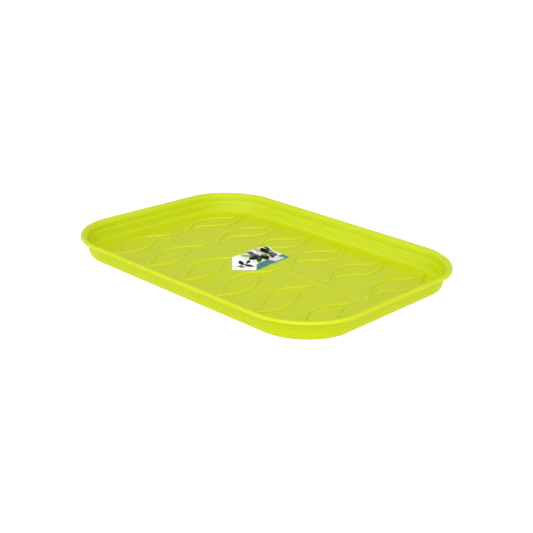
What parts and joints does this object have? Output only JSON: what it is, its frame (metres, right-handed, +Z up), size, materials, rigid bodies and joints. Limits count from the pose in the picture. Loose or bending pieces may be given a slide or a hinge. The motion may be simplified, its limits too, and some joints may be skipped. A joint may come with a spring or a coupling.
{
  "type": "plant growing tray",
  "caption": "Shallow rectangular growing tray with swept corners, a rounded turned-over rim, a stepped wall and leaf-outline relief ribs on its gently raised floor, carrying a small tag-shaped label.",
  "frame": {"origin": "centre of the tray's outline, on the plane that it stands on", "axes": "+X along the long side, +Y across the tray, +Z up out of its mouth"},
  "size_m": [0.376, 0.2772, 0.0232],
  "materials": {
    "tray_plastic": "satin lime-green polypropylene",
    "label_face": "satin printed film"
  },
  "bodies": {
    "root": {"tray": "tray_plastic", "label": "label_face"}
  },
  "joints": []
}
